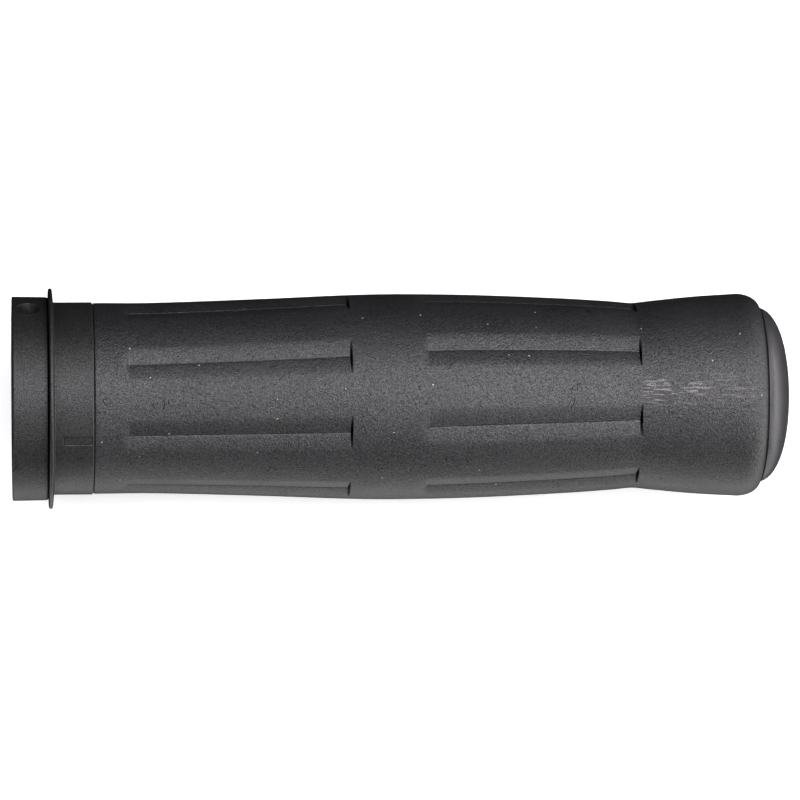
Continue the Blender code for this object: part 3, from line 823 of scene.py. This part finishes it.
def moulded_nylon(name, colour, grain):
    """Glass-filled nylon from a spark-eroded mould.

    To the eye it is dull black with a fine even sparkle, a little cloudy, and darkest in its joints.
    The sparkle is partly painted, crests lighter and glossier than hollows, and the joints, the cable
    seat and the mark's corners are darkened with painted shade.
    """
    material, tree, shader, place_of = start_material(name, 1.53, 0.75)
    # Spark-eroded grain is about 0.05 to 0.1 mm, too fine to show, so it is drawn two to four times wider.
    sparkle = add_node(tree, NOISE, {
        "Vector": place_of, "Scale": 1.0 / grain, "Detail": 2.0, "Roughness": 0.7}, 0)
    cloud = add_node(tree, NOISE, {"Vector": place_of, "Scale": 1.0 / (6.0 * MM), "Detail": 2.0}, 0)
    # Painted shade: this attribute paints the joint beside the flange, the cable seat and the mark's corners
    # black, in colour and reflection.
    shade_mask = add_node(tree, "ShaderNodeAttribute", out="Fac", attribute_name="painted_shade")
    # Painted sparkle: the grain's crests are painted lighter and glossier than its hollows.
    painted_sparkle = add_node(tree, RANGE, {
        "Value": sparkle, "From Min": 0.34, "From Max": 0.66, "To Min": 0.0, "To Max": 1.0}, 0)
    base = painted(tree, shaded(colour, 0.5), (
        (painted_sparkle, shaded(colour, 1.5)),
        (specks(tree, place_of, spacing=1.9 * MM, radius=0.10 * MM, share=0.04), linear("75726d")),
        (shade_mask, linear(DEEP_SHADE)),
    ))
    gloss = painted(tree, shaded(WHITE, HOLLOW_GLOSS), ((painted_sparkle, WHITE), (shade_mask, shaded(WHITE, 0.0))))
    rough = add_node(tree, RANGE, {
        "Value": cloud, "From Min": 0.3, "From Max": 0.7, "To Min": 0.40, "To Max": 0.46}, 0)
    finish_shader(tree, shader, base, gloss, rough, embossed(tree, ((sparkle, PLASTIC_GRAIN_DEPTH),)))
    return material


def soft_vinyl(colour):
    """Soft vinyl moulded in a smooth cavity.

    To the eye it is smoother and more satin than the rubber, with a faint haze, dust and red lint.
    Its reflection is painted stronger on the crests of its fine grain as sparkle, and the seam's groove
    is painted black as shade.
    """
    material, tree, shader, place_of = start_material("moulded_soft_vinyl", 1.53, 0.75)
    haze = add_node(tree, NOISE, {"Vector": place_of, "Scale": 1.0 / (4.0 * MM), "Detail": 3.0}, 0)
    # The vinyl's own grain is under 0.1 mm, too fine to show, so it is drawn 0.35 mm wide.
    fine = add_node(tree, NOISE, {"Vector": place_of, "Scale": 1.0 / (0.35 * MM), "Detail": 2.0}, 0)
    # Painted shade: this attribute paints the floor of the seam's groove black, in colour and reflection.
    groove_shade = add_node(tree, "ShaderNodeAttribute", out="Fac", attribute_name="painted_shade")
    base = painted(tree, shaded(colour, 0.95), (
        (haze, shaded(colour, 1.15)),
        (groove_shade, linear(DEEP_SHADE)),
        (specks(tree, place_of, spacing=1.5 * MM, radius=0.10 * MM, share=0.05), linear("8d8a84")),
        (specks(tree, place_of, spacing=2.1 * MM, radius=0.13 * MM, share=0.06), linear("6a2f2e")),
    ))
    # Painted sparkle: the crests of the fine grain reflect more than its hollows.
    painted_sparkle = add_node(tree, RANGE, {
        "Value": fine, "From Min": 0.3, "From Max": 0.7, "To Min": 0.0, "To Max": 1.0}, 0)
    gloss = painted(tree, shaded(WHITE, 0.65), ((painted_sparkle, WHITE), (groove_shade, shaded(WHITE, 0.0))))
    rough = add_node(tree, RANGE, {
        "Value": haze, "From Min": 0.3, "From Max": 0.7, "To Min": 0.36, "To Max": 0.44}, 0)
    finish_shader(tree, shader, base, gloss, rough, embossed(tree, ((fine, 0.03 * MM),)))
    return material


def stage_paper():
    """Matt white background paper, lit enough by its own glow that shadows on it stay faint."""
    material, tree, shader, place_of = start_material("matt_stage_paper", 1.45, 0.5)
    shader.inputs["Base Color"].default_value = linear("f4f4f4")
    shader.inputs["Roughness"].default_value = 0.9
    shader.inputs["Emission Color"].default_value = WHITE
    shader.inputs["Emission Strength"].default_value = 0.5
    fibre = add_node(tree, NOISE, {"Vector": place_of, "Scale": 1.0 / (1.5 * MM)}, 0)
    tree.links.new(embossed(tree, ((fibre, 0.02 * MM),)), shader.inputs["Normal"])
    return material


# Operators

class THROTTLE_OT_sleeve(bpy.types.Operator):
    """Build the throttle sleeve with its flange, collar, keys and tube"""

    bl_idname = "throttle_grip.sleeve"
    bl_label = "Throttle Sleeve"

    def execute(self, context):
        finish = context.scene.grip_finish
        surface, painted_shade = sleeve_surface()
        sleeve = ring_mesh("sleeve_moulding", surface, closed_loop=True, painted_shade=painted_shade)
        material = moulded_nylon("moulded_sleeve_nylon", finish.plastic_colour, finish.plastic_grain)
        place(sleeve, "grip", "throttle_sleeve", material)
        return {"FINISHED"}


class THROTTLE_OT_drum(bpy.types.Operator):
    """Build the cable drum with its keyways, cable seat and rim notch"""

    bl_idname = "throttle_grip.drum"
    bl_label = "Cable Drum"

    def execute(self, context):
        finish = context.scene.grip_finish
        surface, painted_shade = drum_surface(context.scene.grip_sizes.seat_depth)
        drum = ring_mesh("drum_ring", surface, closed_loop=True, painted_shade=painted_shade)
        material = moulded_nylon("moulded_drum_nylon", finish.plastic_colour, finish.plastic_grain)
        place(drum, "drum", "cable_drum", material)
        return {"FINISHED"}


class THROTTLE_OT_rubber(bpy.types.Operator):
    """Build the lobed rubber with its valleys and slits"""

    bl_idname = "throttle_grip.rubber"
    bl_label = "Lobed Rubber"

    def execute(self, context):
        finish = context.scene.grip_finish
        surface, painted_shade = rubber_surface(context.scene.grip_sizes)
        rubber = ring_mesh("lobed_rubber", surface, closed_loop=True, painted_shade=painted_shade)
        material = moulded_rubber(finish.rubber_colour, finish.rubber_grain)
        place(rubber, "grip", "rubber_grip", material)
        return {"FINISHED"}


class THROTTLE_OT_plug(bpy.types.Operator):
    """Build the domed end plug with its ribbed stem"""

    bl_idname = "throttle_grip.plug"
    bl_label = "End Plug"

    def execute(self, context):
        surface, painted_shade = plug_surface()
        plug = ring_mesh("domed_plug", surface, closed_loop=False, painted_shade=painted_shade)
        material = soft_vinyl(context.scene.grip_finish.plug_colour)
        place(plug, "plug", "end_plug", material)
        return {"FINISHED"}


def add_card(name, place_at, target, size, radiance, colour):
    """A soft rectangular light aimed at a point, unseen by the camera; power = pi * area * radiance."""
    light = bpy.data.lights.new(name, "AREA")
    light.shape = "RECTANGLE"
    light.size, light.size_y = size
    light.energy = math.pi * size[0] * size[1] * radiance
    light.color = colour
    obj = bpy.data.objects.new(name, light)
    aim = (Vector(target) - Vector(place_at)).to_track_quat("-Z", "Y")
    obj.matrix_world = Matrix.Translation(place_at) @ aim.to_matrix().to_4x4()
    obj.visible_camera = False
    bpy.context.scene.collection.objects.link(obj)


def lean_card(name, middle, lean, spread, length, radiance, colour):
    """A long card that leans over the grip, seen from it under an angle of spread.

    place = middle + distance * (sin lean x, sin lean y, cos lean), with the lean from straight up.
    """
    lean_x, lean_y = (math.radians(angle) for angle in lean)
    up = math.cos(max(abs(lean_x), abs(lean_y)))
    place_at = Vector(middle) + CARD_DISTANCE * Vector((math.sin(lean_x), math.sin(lean_y), up))
    width = 2 * CARD_DISTANCE * math.tan(math.radians(spread) / 2)
    add_card(name, place_at, middle, (length, width), radiance, colour)


class THROTTLE_OT_stage(bpy.types.Operator):
    """Build the pale floor, the soft lights and the camera"""

    bl_idname = "throttle_grip.stage"
    bl_label = "Stage"

    def execute(self, context):
        scene = context.scene
        stage = scene.grip_stage
        corners = [
            (side_x * FLOOR_HALF, side_y * FLOOR_HALF, FLOOR_Z)
            for side_x, side_y in ((-1, -1), (1, -1), (1, 1), (-1, 1))
        ]
        mesh = bpy.data.meshes.new("stage_floor")
        mesh.from_pydata(corners, [], [(0, 1, 2, 3)])
        mesh.materials.append(stage_paper())
        floor = bpy.data.objects.new("stage_floor", mesh)
        scene.collection.objects.link(floor)
        floor.visible_glossy = False
        floor.visible_diffuse = False
        middle = ((CAD_BOX[0][0] + CAD_BOX[1][0]) / 2, 0.0, 0.0)
        for name, lean, spread, length, radiance, colour in (
            ("overhead_strip", (0.0, 7.0), 15.0, 1.2, stage.strip, FAINT_VIOLET),
            ("rear_card", (0.0, 35.0), 38.0, 1.2, stage.rear_card, NEUTRAL),
            ("front_card", (0.0, -37.0), 16.0, 1.2, stage.front_card, NEUTRAL),
            ("outer_end_card", (78.0, 0.0), 22.0, 1.0, stage.end_card, NEUTRAL),
            ("outer_top_card", (30.0, 0.0), 22.0, 1.0, stage.top_card, NEUTRAL),
        ):
            lean_card(name, middle, lean, spread, length, radiance, colour)
        beside = Vector((middle[0], SIDE_CARD_Y, FLOOR_Z + CARD_LIFT))
        beyond = Vector((middle[0] + END_CARD_REACH, 0.0, FLOOR_Z + CARD_LIFT))
        add_card("low_side_card", beside, beside + UP, SIDE_CARD_SIZE, stage.low_card, NEUTRAL)
        add_card("low_end_card", beyond, beyond + UP, END_CARD_SIZE, stage.low_end_card, NEUTRAL)
        world = bpy.data.worlds.new("soft_surround")
        world.use_nodes = True
        world.node_tree.nodes["Background"].inputs["Color"].default_value = SURROUND_GREY
        scene.world = world
        data = bpy.data.cameras.new("stage_camera")
        data.lens = stage.lens
        camera = bpy.data.objects.new("stage_camera", data)
        place_at = Vector((stage.camera_foot, VIEW_Y, stage.camera_height))
        target = Vector((VIEW_X, VIEW_Y, 0.0))
        forward = (target - place_at).normalized()
        right = forward.cross(Vector((0.0, 1.0, 0.0))).normalized()
        up = right.cross(forward)
        facing = Matrix((right, up, -forward)).transposed().to_4x4()
        roll = Matrix.Rotation(stage.camera_roll, 4, "Z")
        camera.matrix_world = Matrix.Translation(place_at) @ facing @ roll
        scene.collection.objects.link(camera)
        scene.camera = camera
        scene.view_settings.view_transform = "Standard"
        return {"FINISHED"}


class THROTTLE_PT_panel(bpy.types.Panel):
    """Sidebar panel with the grip's sizes, finishes and builders"""

    bl_idname = "THROTTLE_PT_panel"
    bl_label = "Throttle Grip"
    bl_space_type = "VIEW_3D"
    bl_region_type = "UI"
    bl_category = "Throttle Grip"

    def draw(self, context):
        layout = self.layout
        scene = context.scene
        groups = (("Sizes", scene.grip_sizes), ("Finish", scene.grip_finish), ("Stage", scene.grip_stage))
        for title, group in groups:
            box = layout.box()
            box.label(text=title)
            for name in group.__annotations__:
                box.prop(group, name)
        for operator in OPERATORS:
            layout.operator(operator.bl_idname)


OPERATORS = (
    THROTTLE_OT_sleeve, THROTTLE_OT_drum, THROTTLE_OT_rubber, THROTTLE_OT_plug, THROTTLE_OT_stage,
)
CLASSES = (GripSizes, GripFinish, GripStage, *OPERATORS, THROTTLE_PT_panel)


def register():
    """Register the classes and hang the property groups on the scene."""
    for cls in CLASSES:
        bpy.utils.register_class(cls)
    bpy.types.Scene.grip_sizes = PointerProperty(type=GripSizes)
    bpy.types.Scene.grip_finish = PointerProperty(type=GripFinish)
    bpy.types.Scene.grip_stage = PointerProperty(type=GripStage)


def unregister():
    """Remove the property groups and the classes."""
    del bpy.types.Scene.grip_stage
    del bpy.types.Scene.grip_finish
    del bpy.types.Scene.grip_sizes
    for cls in reversed(CLASSES):
        bpy.utils.unregister_class(cls)


def main():
    register()
    bpy.ops.throttle_grip.sleeve()
    bpy.ops.throttle_grip.drum()
    bpy.ops.throttle_grip.rubber()
    bpy.ops.throttle_grip.plug()
    bpy.ops.throttle_grip.stage()


if __name__ == "__main__":
    main()
